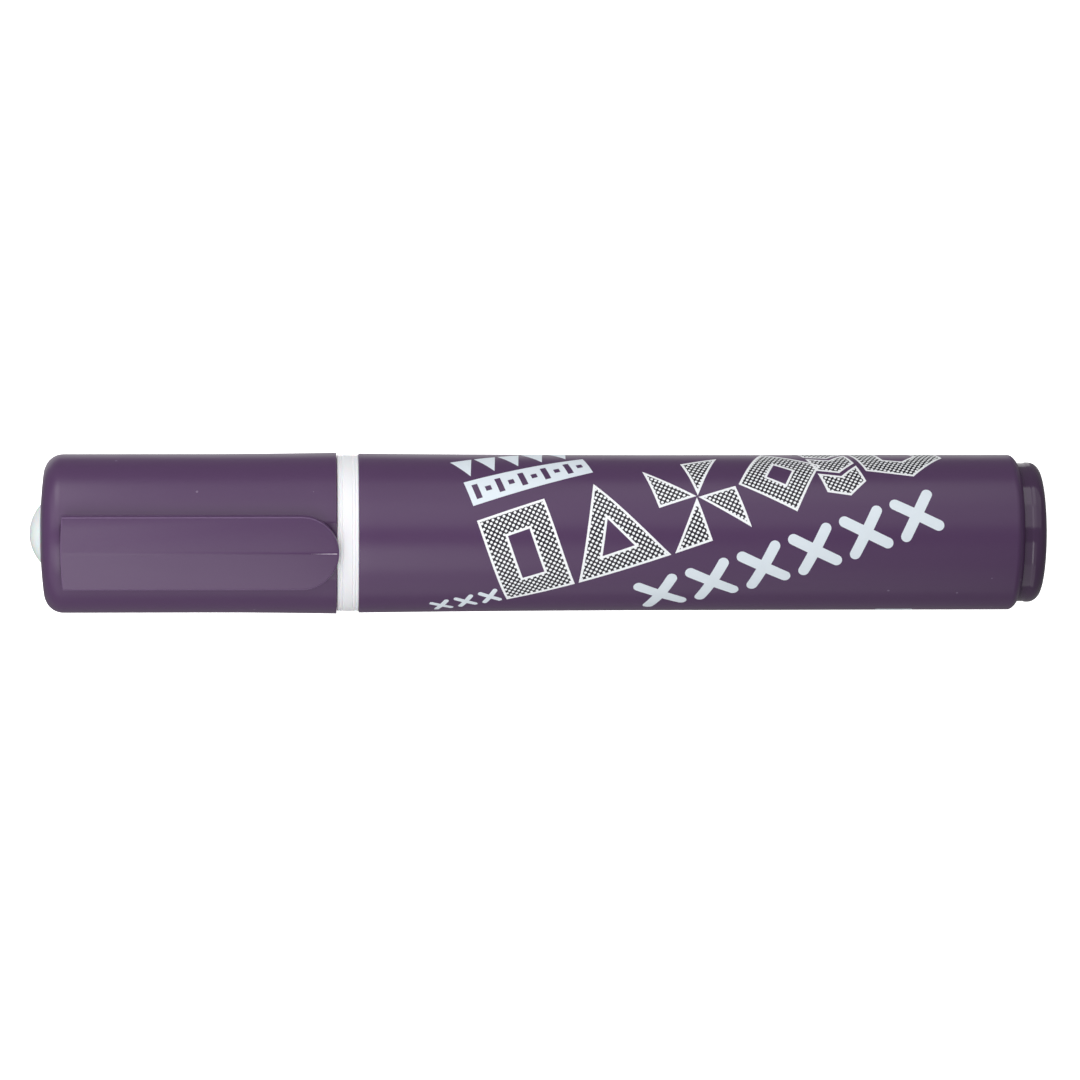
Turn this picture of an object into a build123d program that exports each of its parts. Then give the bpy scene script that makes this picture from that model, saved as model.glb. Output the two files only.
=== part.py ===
"""Broad-point fabric marking pen, capped, lying along X.

The cap points to -X, the tail to +X and the clip to +Z. The origin is on the pen's axis,
in the middle of the barrel's straight stretch, where a holder grips it. Sizes are in mm.
"""

import os
from math import sqrt

from build123d import *

# Barrel: front rim, a slight flare behind it, then a straight stretch to the rear chamfer
barrel_length = 82.45
barrel_radius = 9.72
barrel_wall = 1.27
barrel_flare_height = 0.21
barrel_flare_length = 40.0
rear_chamfer_length = 0.85
rear_lip = 0.05
rim_edge_fillet = 0.12

# Ribs inside the barrel, which centre the reservoir
rib_count = 6
rib_width = 0.9
rib_front_gap = 2.0
rib_root = 0.3

# Tail plug
plug_spigot_length = 8.0
plug_visible_length = 3.05
plug_inset = 1.04
plug_head_rise = 0.09
plug_neck_length = 0.95
plug_step_length = 0.2
plug_hold = 0.225
plug_end_wall = 1.4
plug_end_crown = 0.24
plug_end_fillet = 1.4

# Nib holder: white ring, cap seat, cone and nozzle in front, spigot behind
ring_width = 2.68
ring_inset = 0.2
ring_edge_fillet = 0.12
ring_groove_width = 0.12
ring_groove_depth = 0.05
ring_groove_margin = 0.3
ring_groove_spacing = 0.4
seat_length = 6.9
seat_bead_width = 0.8
seat_bead_offset = 2.6
cone_length = 5.6
nozzle_radius = 4.8
nozzle_length = 7.2
nozzle_edge_fillet = 0.6
seat_wall = 0.85
cone_wall = 1.5
holder_spigot_length = 9.0
vent_count = 3
vent_width = 0.7
vent_depth = 0.4

# Nib and reservoir
nib_radius = 3.0
nib_reach = 7.3
nib_bullet_length = 4.2
nib_point_radius = 0.9
nib_bite = 8.0
nib_tail_taper = 1.2
wrap_thickness = 0.1
reservoir_gap = 0.3

# Cap
cap_length = 36.75
cap_radius = 9.885
cap_flare_height = 0.165
cap_flare_length = 17.0
cap_wall = 1.2
cap_end_wall = 1.45
cap_end_crown = 0.79
cap_end_fillet = 2.37
cap_inner_fillet = 0.8
cap_mouth_fillet = 0.12
snap_groove_depth = 0.12

# Liner inside the cap, with the boss that shows in the cap's end
boss_radius = 3.75
boss_height = 1.5
liner_wall = 1.35
liner_flange_thickness = 1.2
liner_end_wall = 1.2
liner_overlap = 5.9
liner_mouth_fillet = 0.4

# Clip and the flat that it stands over
clip_half_width = 4.62
clip_thickness = 1.1
clip_gap = 0.45
clip_root_length = 4.0
clip_root_bow = 0.25
clip_overhang = 0.27
clip_edge_fillet = 0.22
clip_pad_length = 3.0

# Clearances
press_gap = 0.02
running_gap = 0.05
seat_gap = 0.08
bead_gap = 0.02
face_gap = 0.05
clip_root_gap = 0.02
clip_ring_gap = 0.1
clip_pad_gap = 0.1

# Places along the axis that several pieces share
grip_length = barrel_length - barrel_flare_length - rear_chamfer_length
barrel_front = -barrel_flare_length - grip_length / 2
barrel_rear = barrel_front + barrel_length
ring_front = barrel_front - ring_width
cap_mouth = ring_front - face_gap
cap_end = cap_mouth - cap_length
seat_front = ring_front - seat_length
nozzle_back = seat_front - cone_length
nozzle_front = nozzle_back - nozzle_length
nib_tip = nozzle_front - nib_reach
plug_front = barrel_rear - plug_spigot_length
pocket_front = seat_front + cone_wall
reservoir_front = pocket_front + reservoir_gap
reservoir_rear = plug_front - reservoir_gap

# Radii that several pieces share
barrel_bore = barrel_radius - barrel_wall
barrel_rim_radius = barrel_radius + barrel_flare_height
ring_radius = barrel_rim_radius - ring_inset
cap_mouth_radius = cap_radius + cap_flare_height
cap_bore = cap_radius - cap_wall
holder_spigot_radius = barrel_bore - press_gap
seat_radius = cap_bore - seat_gap
pocket_bore = seat_radius - seat_wall
wrap_radius = pocket_bore - face_gap
core_radius = wrap_radius - wrap_thickness
plug_radius = barrel_radius - plug_inset
plug_socket_radius = plug_radius + press_gap
nib_bore = nib_radius + press_gap
liner_bore = nozzle_radius + running_gap


def crown_radius(chord_radius, height):
    """Radius of the shallow dome that rises by height over a disc of chord_radius."""
    return (chord_radius**2 + height**2) / (2 * height)


def crown_drop(dome_radius, radius):
    """How far a dome has dropped below its top at a distance radius from its axis."""
    return dome_radius - sqrt(dome_radius**2 - radius**2)


with BuildPart() as barrel:
    grip_front = barrel_front + barrel_flare_length
    plug_shoulder = plug_front - face_gap
    with BuildSketch(Plane.XZ):
        with BuildLine():
            Polyline(
                (grip_front, barrel_radius),
                (barrel_rear - rear_chamfer_length, barrel_radius),
                (barrel_rear, plug_socket_radius + rear_lip),
                (barrel_rear, plug_socket_radius),
                (plug_shoulder, plug_socket_radius),
                (plug_shoulder, barrel_bore),
                (barrel_front, barrel_bore),
                (barrel_front, barrel_rim_radius),
            )
            TangentArc((grip_front, barrel_radius), (barrel_front, barrel_rim_radius), tangent=(-1, 0))
        rim = make_face().vertices().group_by(Axis.X)[0].sort_by(Axis.Y)[-1]
        fillet(rim, radius=rim_edge_fillet)
    revolve(axis=Axis.X)
    rib_front = barrel_front + holder_spigot_length + rib_front_gap
    rib_height = barrel_bore - wrap_radius - face_gap
    with BuildSketch(Plane.YZ.offset(rib_front)):
        with PolarLocations(barrel_bore + (rib_root - rib_height) / 2, rib_count):
            Rectangle(rib_height + rib_root, rib_width)
    extrude(amount=plug_shoulder - rib_front)
barrel.part.label = "barrel"


with BuildPart() as tail_plug:
    plug_end = barrel_rear + plug_visible_length
    plug_bore = wrap_radius - plug_hold
    plug_head_radius = plug_radius + plug_head_rise
    neck_end = barrel_rear + plug_neck_length
    plug_corner = plug_end - plug_end_crown
    plug_dome = crown_radius(plug_head_radius, plug_end_crown)
    with BuildSketch(Plane.XZ):
        with BuildLine():
            Polyline(
                (plug_front, plug_radius),
                (neck_end, plug_radius),
                (neck_end + plug_step_length, plug_head_radius),
                (plug_corner, plug_head_radius),
            )
            ThreePointArc(
                (plug_corner, plug_head_radius),
                (plug_end - crown_drop(plug_dome, plug_head_radius / 2), plug_head_radius / 2),
                (plug_end, 0),
            )
            Polyline(
                (plug_end, 0),
                (plug_end - plug_end_wall, 0),
                (plug_end - plug_end_wall, plug_bore),
                (plug_front, plug_bore),
                (plug_front, plug_radius),
            )
        corner = make_face().vertices().group_by(Axis.Y)[-1].sort_by(Axis.X)[-1]
        fillet(corner, radius=plug_end_fillet)
    revolve(axis=Axis.X)
tail_plug.part.label = "tail_plug"


with BuildPart() as nib_holder:
    spigot_rear = barrel_front + holder_spigot_length
    bead_middle = ring_front - seat_bead_offset
    with BuildSketch(Plane.XZ) as holder_profile:
        with BuildLine():
            Polyline(
                (nozzle_front, nib_bore),
                (nozzle_front, nozzle_radius),
                (nozzle_back, nozzle_radius),
                (seat_front, seat_radius),
                (ring_front, seat_radius),
                (ring_front, ring_radius),
                (barrel_front, ring_radius),
                (barrel_front, holder_spigot_radius),
                (spigot_rear, holder_spigot_radius),
                (spigot_rear, pocket_bore),
                (pocket_front, pocket_bore),
                (nozzle_back + cone_wall, nib_bore),
                close=True,
            )
        make_face()
        fillet(holder_profile.vertices().group_by(Axis.X)[0].sort_by(Axis.Y)[-1], radius=nozzle_edge_fillet)
        fillet(holder_profile.vertices().group_by(Axis.Y)[-1], radius=ring_edge_fillet)
        with BuildLine():
            bead = ThreePointArc(
                (bead_middle - seat_bead_width / 2, seat_radius),
                (bead_middle, seat_radius + seat_gap - bead_gap),
                (bead_middle + seat_bead_width / 2, seat_radius),
            )
            Line(bead @ 1, bead @ 0)
        make_face()
        for step in (ring_groove_margin, ring_groove_margin + ring_groove_spacing):
            with Locations((ring_front + step, ring_radius), (barrel_front - step, ring_radius)):
                Rectangle(ring_groove_width, 2 * ring_groove_depth, mode=Mode.SUBTRACT)
    revolve(axis=Axis.X)
    with BuildSketch(Plane.YZ.offset(nozzle_front)):
        with PolarLocations(nib_bore, vent_count):
            Rectangle(2 * vent_depth, vent_width)
    extrude(amount=nozzle_length + cone_length, mode=Mode.SUBTRACT)
nib_holder.part.label = "nib_holder"


with BuildPart() as nib:
    nib_rear = reservoir_front + nib_bite
    nib_shoulder = nib_tip + nib_bullet_length
    with BuildSketch(Plane.XZ):
        with BuildLine():
            TangentArc((nib_shoulder, nib_radius), (nib_tip, nib_point_radius), tangent=(-1, 0))
            Polyline(
                (nib_tip, nib_point_radius),
                (nib_tip, 0),
                (nib_rear, 0),
                (nib_rear, nib_radius - nib_tail_taper),
                (nib_rear - nib_tail_taper, nib_radius),
                (nib_shoulder, nib_radius),
            )
        make_face()
    revolve(axis=Axis.X)
nib.part.label = "nib"


with BuildPart() as ink_reservoir:
    socket_rear = nib_rear + face_gap
    with BuildSketch(Plane.XZ):
        with BuildLine():
            Polyline(
                (reservoir_front, nib_bore),
                (reservoir_front, core_radius),
                (reservoir_rear, core_radius),
                (reservoir_rear, 0),
                (socket_rear, 0),
                (socket_rear, nib_bore - nib_tail_taper),
                (socket_rear - nib_tail_taper, nib_bore),
                close=True,
            )
        make_face()
    revolve(axis=Axis.X)
ink_reservoir.part.label = "ink_reservoir"


with BuildPart() as reservoir_wrap:
    with BuildSketch(Plane.YZ.offset(reservoir_front)):
        Circle(wrap_radius)
        Circle(core_radius, mode=Mode.SUBTRACT)
    extrude(amount=reservoir_rear - reservoir_front)
reservoir_wrap.part.label = "reservoir_wrap"


cap_corner = cap_end + cap_end_crown
cap_straight = cap_corner + cap_end_fillet
cap_inner_end = cap_end + cap_end_wall
cap_dome = crown_radius(cap_radius, cap_end_crown)
boss_hole_radius = boss_radius + running_gap
clip_root = cap_straight - clip_root_bow
clip_under = ring_radius + clip_ring_gap
clip_flat_height = clip_under - clip_gap


with BuildPart() as cap_shell:
    flare_start = cap_mouth - cap_flare_length
    snap_middle = ring_front - seat_bead_offset
    hole_edge = (cap_end + crown_drop(cap_dome, boss_hole_radius), boss_hole_radius)
    with BuildSketch(Plane.XZ) as cap_profile:
        with BuildLine():
            TangentArc((flare_start, cap_radius), (cap_mouth, cap_mouth_radius), tangent=(1, 0))
            Line((flare_start, cap_radius), (cap_corner, cap_radius))
            ThreePointArc(
                (cap_corner, cap_radius),
                (cap_end + crown_drop(cap_dome, cap_radius / 2), cap_radius / 2),
                hole_edge,
            )
            Polyline(
                hole_edge,
                (cap_inner_end, boss_hole_radius),
                (cap_inner_end, cap_bore),
                (cap_mouth, cap_bore),
                (cap_mouth, cap_mouth_radius),
            )
        make_face()
        fillet(cap_profile.vertices().group_by(Axis.X)[-1], radius=cap_mouth_fillet)
        fillet(cap_profile.vertices().sort_by_distance((cap_corner, cap_radius))[0], radius=cap_end_fillet)
        fillet(cap_profile.vertices().sort_by_distance((cap_inner_end, cap_bore))[0], radius=cap_inner_fillet)
        with Locations((snap_middle, cap_bore)):
            Rectangle(2 * seat_bead_width, 2 * snap_groove_depth, mode=Mode.SUBTRACT)
    revolve(axis=Axis.X)
    flat_start = clip_root - face_gap
    with BuildSketch(Plane.XY.offset(clip_flat_height)):
        with Locations((flat_start, 0)):
            Rectangle(cap_length, 2 * cap_mouth_radius, align=(Align.MIN, Align.CENTER))
    extrude(amount=cap_mouth_radius, mode=Mode.SUBTRACT)
cap_shell.part.label = "cap_shell"


with BuildPart() as inner_cap:
    boss_edge = cap_end + crown_drop(cap_dome, boss_radius)
    flange_front = cap_inner_end + face_gap
    flange_rear = flange_front + liner_flange_thickness
    flange_radius = cap_bore - cap_inner_fillet - running_gap
    liner_radius = liner_bore + liner_wall
    liner_mouth = nozzle_front + liner_overlap
    boss_dome = crown_radius(boss_radius, boss_height)
    with BuildSketch(Plane.XZ):
        with BuildLine():
            ThreePointArc(
                (boss_edge - boss_height, 0),
                (boss_edge - boss_height + crown_drop(boss_dome, boss_radius / 2), boss_radius / 2),
                (boss_edge, boss_radius),
            )
            Polyline(
                (boss_edge, boss_radius),
                (flange_front, boss_radius),
                (flange_front, flange_radius),
                (flange_rear, flange_radius),
                (flange_rear, liner_radius),
                (liner_mouth, liner_radius),
                (liner_mouth, liner_bore),
                (flange_rear + liner_end_wall, liner_bore),
                (flange_rear + liner_end_wall, 0),
                (boss_edge - boss_height, 0),
            )
        mouth_corners = make_face().vertices().group_by(Axis.X)[-1]
        fillet(mouth_corners, radius=liner_mouth_fillet)
    revolve(axis=Axis.X)
inner_cap.part.label = "inner_cap"


with BuildPart() as clip:
    clip_tip = cap_mouth + clip_overhang
    tip_centre = clip_tip - clip_half_width
    foot_radius = cap_radius + clip_root_gap
    foot_height = sqrt(foot_radius**2 - clip_half_width**2)
    with BuildSketch(Plane.XY.offset(clip_under)) as clip_outline:
        with BuildLine():
            root = ThreePointArc(
                (cap_straight, -clip_half_width),
                (clip_root, 0),
                (cap_straight, clip_half_width),
            )
            Line(root @ 0, (tip_centre, -clip_half_width))
            Line(root @ 1, (tip_centre, clip_half_width))
            ThreePointArc(
                (tip_centre, -clip_half_width),
                (clip_tip, 0),
                (tip_centre, clip_half_width),
            )
        make_face()
    extrude(amount=clip_thickness)
    fillet(clip.faces().sort_by(Axis.Z)[-1].edges(), radius=clip_edge_fillet)
    with BuildSketch(Plane.YZ.offset(cap_straight)):
        with Locations((0, clip_under)):
            Rectangle(2 * clip_half_width, clip_under - foot_height, align=(Align.CENTER, Align.MAX))
        Circle(foot_radius, mode=Mode.SUBTRACT)
        with Locations((0, clip_under)):
            Rectangle(2 * clip_half_width, clip_gap - clip_root_gap, align=(Align.CENTER, Align.MAX))
    extrude(amount=clip_root_length)
    with BuildSketch(Plane.XZ):
        with Locations((tip_centre, clip_under)):
            Circle(clip_gap - clip_pad_gap)
    extrude(amount=clip_pad_length / 2, both=True)
clip.part.label = "clip"


os.makedirs("parts", exist_ok=True)
export_step(barrel.part, "parts/barrel.step")
export_step(tail_plug.part, "parts/tail_plug.step")
export_step(nib_holder.part, "parts/nib_holder.step")
export_step(nib.part, "parts/nib.step")
export_step(ink_reservoir.part, "parts/ink_reservoir.step")
export_step(reservoir_wrap.part, "parts/reservoir_wrap.step")
export_step(cap_shell.part, "parts/cap_shell.step")
export_step(inner_cap.part, "parts/inner_cap.step")
export_step(clip.part, "parts/clip.step")
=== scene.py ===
"""Looks of the broad-point fabric marking pen, built round its CAD frame.

The pen lies along X with its cap to -X and its clip to +Z, on a white table.
Outlines are in millimetres in the CAD's own frame, and MM turns them to metres.
"""

from math import asin, atan2, cos, degrees, pi, radians, sin, sqrt

import bpy
from mathutils import Matrix, Vector


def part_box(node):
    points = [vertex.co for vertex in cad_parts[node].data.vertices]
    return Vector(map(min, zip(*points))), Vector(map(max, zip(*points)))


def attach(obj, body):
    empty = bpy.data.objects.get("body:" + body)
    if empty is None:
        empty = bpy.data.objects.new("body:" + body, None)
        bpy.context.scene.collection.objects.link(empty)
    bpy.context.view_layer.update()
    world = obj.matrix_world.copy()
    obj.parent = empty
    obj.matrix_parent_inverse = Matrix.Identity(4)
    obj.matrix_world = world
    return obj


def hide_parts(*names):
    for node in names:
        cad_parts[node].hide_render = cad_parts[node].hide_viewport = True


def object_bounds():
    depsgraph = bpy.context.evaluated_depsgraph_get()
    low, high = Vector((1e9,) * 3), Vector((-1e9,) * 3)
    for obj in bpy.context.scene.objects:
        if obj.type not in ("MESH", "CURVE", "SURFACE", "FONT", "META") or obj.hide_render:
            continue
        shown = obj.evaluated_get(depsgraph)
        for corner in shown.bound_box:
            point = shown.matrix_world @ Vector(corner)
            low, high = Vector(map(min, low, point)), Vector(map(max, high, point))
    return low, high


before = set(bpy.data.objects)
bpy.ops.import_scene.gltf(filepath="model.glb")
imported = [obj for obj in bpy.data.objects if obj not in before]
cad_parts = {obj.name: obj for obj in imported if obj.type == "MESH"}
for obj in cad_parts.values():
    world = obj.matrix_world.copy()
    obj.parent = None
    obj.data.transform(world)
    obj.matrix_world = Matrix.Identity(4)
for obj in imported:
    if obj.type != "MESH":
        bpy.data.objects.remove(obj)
cad_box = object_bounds()

MM = 0.001
POLE = 0.02            # radius of the small flat that closes a turned piece at its axis
TURN_SIDES = 160       # sides of a turned piece
SMOOTH_ANGLE = radians(32)

# Sizes shared by the turned pieces, as the CAD has them
BARREL_RADIUS = 9.72
RIM_RADIUS = 9.93
FLARE_LENGTH = 40.0
BARREL_BORE = 8.45
SOCKET_RADIUS = 8.70
SOCKET_DEPTH = 8.05
CAP_RADIUS = 9.885
CAP_MOUTH_RADIUS = 10.05
CAP_FLARE_LENGTH = 17.0
CAP_BORE = 8.685
CAP_CROWN = 0.79
BOSS_HOLE = 3.80
CAP_LENGTH = 36.75
CAP_END_WALL = 1.45
EDGE = 0.12            # radius of the small moulded edge roundings
CLIP_EDGE = 0.2        # radius of the roundings on the clip's top
CLIP_FALL = 0.12       # how far the clip's top falls from its middle line to its sides


def span(node):
    """Lowest and highest corner of a CAD node, in millimetres."""
    low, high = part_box(node)
    return low / MM, high / MM


# ---------------------------------------------------------------- modelling


def nothing_selected():
    """Leaves edit mode and deselects every object."""
    if bpy.context.mode != "OBJECT":
        bpy.ops.object.mode_set(mode="OBJECT")
    bpy.ops.object.select_all(action="DESELECT")


def edit(piece):
    """Puts one piece in edit mode with nothing in it selected."""
    nothing_selected()
    bpy.context.view_layer.objects.active = piece
    piece.select_set(True)
    bpy.ops.object.mode_set(mode="EDIT")
    bpy.ops.mesh.select_mode(type="VERT")
    bpy.ops.mesh.select_all(action="DESELECT")


def edit_where(piece, kind, test):
    """Puts a piece in edit mode with only the VERT, EDGE or FACE elements selected that pass the test."""
    edit(piece)
    bpy.ops.mesh.select_mode(type=kind)
    bpy.ops.mesh.select_all(action="DESELECT")
    bpy.ops.object.mode_set(mode="OBJECT")
    points = piece.data.vertices
    if kind == "VERT":
        for vertex in points:
            vertex.select = test(vertex.co)
    elif kind == "EDGE":
        for edge in piece.data.edges:
            edge.select = test(points[edge.vertices[0]].co, points[edge.vertices[1]].co)
    else:
        for face in piece.data.polygons:
            face.select = test(face.center, face.normal)
    bpy.ops.object.mode_set(mode="EDIT")


def settle(piece, name):
    """Names a piece and moves its place into its mesh."""
    nothing_selected()
    piece.name = name
    piece.data.name = name
    piece.select_set(True)
    bpy.context.view_layer.objects.active = piece
    bpy.ops.object.transform_apply(location=True, rotation=True, scale=True)
    return piece


def face_out_and_smooth(piece):
    edit(piece)
    bpy.ops.mesh.select_all(action="SELECT")
    bpy.ops.mesh.remove_doubles(threshold=1e-7)
    bpy.ops.mesh.normals_make_consistent(inside=False)
    nothing_selected()
    piece.select_set(True)
    bpy.context.view_layer.objects.active = piece
    bpy.ops.object.shade_smooth_by_angle(angle=SMOOTH_ANGLE)
    return piece


def apply_modifier(piece, kind, **settings):
    """Adds one modifier to a piece, sets it and applies it."""
    nothing_selected()
    piece.select_set(True)
    bpy.context.view_layer.objects.active = piece
    modifier = piece.modifiers.new(kind.title(), kind)
    for setting, value in settings.items():
        setattr(modifier, setting, value)
    bpy.ops.object.modifier_apply(modifier=modifier.name)


def cut_away(piece, cutter):
    """Cuts one piece out of another and throws the cutter away."""
    apply_modifier(piece, "BOOLEAN", operation="DIFFERENCE", object=cutter, solver="EXACT")
    bpy.data.objects.remove(cutter)


def join(pieces, name):
    """Makes several pieces one object."""
    nothing_selected()
    for piece in pieces:
        piece.select_set(True)
    bpy.context.view_layer.objects.active = pieces[0]
    if len(pieces) > 1:
        bpy.ops.object.join()
    return settle(pieces[0], name)


def turned(name, outline, closed=True):
    """A piece turned about X. The outline is a list of (x, radius) in millimetres.

    A closed outline comes back to its first point, as a tube's does. An open one starts and
    ends on the axis, where a small flat closes it.
    """
    x, radius = outline[0]
    nothing_selected()
    bpy.ops.mesh.primitive_circle_add(
        vertices=TURN_SIDES, radius=radius * MM, location=(x * MM, 0, 0), rotation=(0, pi / 2, 0)
    )
    piece = settle(bpy.context.object, name)
    edit(piece)
    bpy.ops.mesh.select_all(action="SELECT")
    if not closed:
        bpy.ops.mesh.edge_face_add()
    for next_x, next_radius in outline[1:]:
        bpy.ops.mesh.extrude_edges_move(TRANSFORM_OT_translate={"value": ((next_x - x) * MM, 0, 0)})
        size = next_radius / radius
        bpy.ops.transform.resize(value=(1, size, size), center_override=(next_x * MM, 0, 0))
        x, radius = next_x, next_radius
    if not closed:
        bpy.ops.mesh.edge_face_add()
    return face_out_and_smooth(piece)


def arc(centre, radius, start, end, steps):
    """Points along an arc. Angles are in degrees from +X towards the outside."""
    points = []
    for step in range(steps + 1):
        angle = radians(start + (end - start) * step / steps)
        points.append((centre[0] + radius * cos(angle), centre[1] + radius * sin(angle)))
    return points


def flare(end_x, end_radius, start_x, start_radius, steps=12):
    """Points of the shallow arc that leaves a straight stretch at start and opens out to end."""
    rise = end_radius - start_radius
    length = abs(end_x - start_x)
    bend = (length**2 + rise**2) / (2 * rise)
    points = []
    for step in range(steps + 1):
        x = start_x + (end_x - start_x) * step / steps
        points.append((x, start_radius + bend - sqrt(bend**2 - (x - start_x) ** 2)))
    return points


def crowned_end(end_x, facing, radius, crown, rounding, inner_radius):
    """Points from a cylinder round its corner and in over a shallow dome. Facing is -1 or 1 in X."""
    dome = (radius**2 + crown**2) / (2 * crown)
    corner_radius = radius - rounding
    back = sqrt((dome - rounding) ** 2 - corner_radius**2)
    corner_x = dome - back
    lean = degrees(atan2(corner_radius, back))
    corner = [(-x, r) for x, r in arc((-corner_x, corner_radius), rounding, 90, lean, 12)]
    inner_lean = degrees(asin(inner_radius / dome))
    crown_points = [(-x, r) for x, r in arc((-dome, 0), dome, lean, inner_lean, 14)]
    return [(end_x - facing * x, r) for x, r in corner + crown_points[1:]]


def make_barrel():
    """The barrel tube: a flared front rim, a straight body and a soft chamfer round the plug's socket."""
    low, high = span("barrel")
    front, rear = low.x, high.x
    chamfer, swell = 0.85, 0.07
    shoulder = rear - chamfer
    lip = SOCKET_RADIUS + 0.05
    outline = [(front, BARREL_BORE)]
    outline += arc((front + EDGE, RIM_RADIUS - EDGE), EDGE, 180, 90, 5)
    outline += flare(front + 2 * EDGE, RIM_RADIUS, front + FLARE_LENGTH, BARREL_RADIUS, 20)[-2::-1]
    outline += [(shoulder - 0.3, BARREL_RADIUS), (shoulder - 0.1, BARREL_RADIUS - 0.004)]
    for step in range(1, 6):
        share = step / 6
        out = swell * sin(pi * share)
        outline.append((shoulder + chamfer * share + out,
                        BARREL_RADIUS + (lip - BARREL_RADIUS) * share + out))
    outline += [(rear, lip), (rear, SOCKET_RADIUS), (rear - SOCKET_DEPTH, SOCKET_RADIUS)]
    outline += [(rear - SOCKET_DEPTH, BARREL_BORE), (front, BARREL_BORE)]
    return turned("barrel_tube", outline)


def make_tail_plug():
    """The end plug: a hollow spigot in the barrel, a neck behind it, and a head that steps out and
    rounds over."""
    low, high = span("tail_plug")
    front, tail = low.x, high.x
    step_front = span("barrel")[1].x + 0.85
    bore, neck, head = 7.48, 8.68, 8.77
    wall, step_length, crown, rounding = 1.4, 0.35, 0.24, 1.4
    outline = [(tail - wall, POLE), (tail - wall, bore), (front, bore), (front, neck - EDGE)]
    outline += [(front + EDGE, neck), (step_front, neck)]
    for step in range(1, 6):
        ease = (1 - cos(pi * step / 5)) / 2
        outline.append((step_front + step_length * step / 5, neck + (head - neck) * ease))
    outline += crowned_end(tail, 1, head, crown, rounding, POLE)
    return turned("end_plug", outline, closed=False)


def make_nib_holder():
    """The white nib section: vented nozzle, cone, cap seat with its snap bead, grooved ring and spigot."""
    low, high = span("nib_holder")
    nozzle_front, spigot_rear = low.x, high.x
    front = span("barrel")[0].x
    ring_front = front - 2.68
    seat_front = ring_front - 6.9
    nozzle_back = seat_front - 5.6
    bore, nozzle, seat, ring, spigot, pocket = 3.02, 4.8, 8.605, 9.73, 8.43, 7.755
    nozzle_rounding, wall = 0.6, 1.5
    bead, bead_reach, bead_height = ring_front - 2.6, 0.4, 0.06
    groove_reach, groove_depth = 0.10, 0.07
    outline = [(nozzle_front, bore)]
    outline += arc((nozzle_front + nozzle_rounding, nozzle - nozzle_rounding), nozzle_rounding, 180, 90, 6)
    outline += [(nozzle_back, nozzle), (seat_front - 0.1, seat - 0.07), (seat_front + 0.1, seat)]
    for off in (-0.4, -0.27, -0.13, 0, 0.13, 0.27, 0.4):
        outline.append((bead + off, seat + bead_height * cos(off / bead_reach * pi / 2)))
    outline += [(ring_front, seat), (ring_front, ring - EDGE)]
    outline += arc((ring_front + EDGE, ring - EDGE), EDGE, 180, 90, 4)[1:]
    for groove in (0.30, 0.70, 1.92, 2.32):
        middle = ring_front + groove
        for off, depth in ((-1, 0), (-0.5, 0.045), (0, groove_depth), (0.5, 0.045), (1, 0)):
            outline.append((middle + off * groove_reach, ring - depth))
    outline += arc((front - EDGE, ring - EDGE), EDGE, 90, 0, 4)
    outline += [(front, spigot), (spigot_rear - 0.3, spigot), (spigot_rear, spigot - 0.2),
                (spigot_rear, pocket)]
    outline += [(seat_front + wall, pocket), (nozzle_back + wall, bore), (nozzle_front, bore)]
    holder = turned("nib_section", outline)
    vents = []
    for turn in range(3):
        angle = 2 * pi * turn / 3
        middle = Vector((nozzle_front + 5.5, bore * cos(angle), bore * sin(angle)))
        nothing_selected()
        bpy.ops.mesh.primitive_cube_add(size=1, location=middle * MM)
        vent = bpy.context.object
        vent.scale = (13 * MM, 0.8 * MM, 0.7 * MM)
        vent.rotation_euler = (angle, 0, 0)
        vents.append(vent)
    cut_away(holder, join(vents, "vent_cutter"))
    return face_out_and_smooth(holder)


def make_nib():
    """The felt nib: a blunt bullet point on a rod, thinned at the end that sits in the ink store."""
    low, high = span("nib")
    tip, rear = low.x, high.x
    radius, bullet, taper = 3.0, 4.2, 1.2
    blunt, blunt_depth = 0.85, 0.14
    outline = [(tip, POLE), (tip + 0.01, 0.25), (tip + 0.05, 0.55), (tip + blunt_depth, blunt)]
    for step in range(1, 13):
        angle = pi / 2 * step / 12
        x = tip + blunt_depth + (bullet - blunt_depth) * (1 - cos(angle))
        outline.append((x, blunt + (radius - blunt) * sin(angle)))
    outline += [(tip + bullet + 6, radius), (rear - taper, radius), (rear, radius - taper), (rear, POLE)]
    return turned("felt_nib", outline, closed=False)


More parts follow.
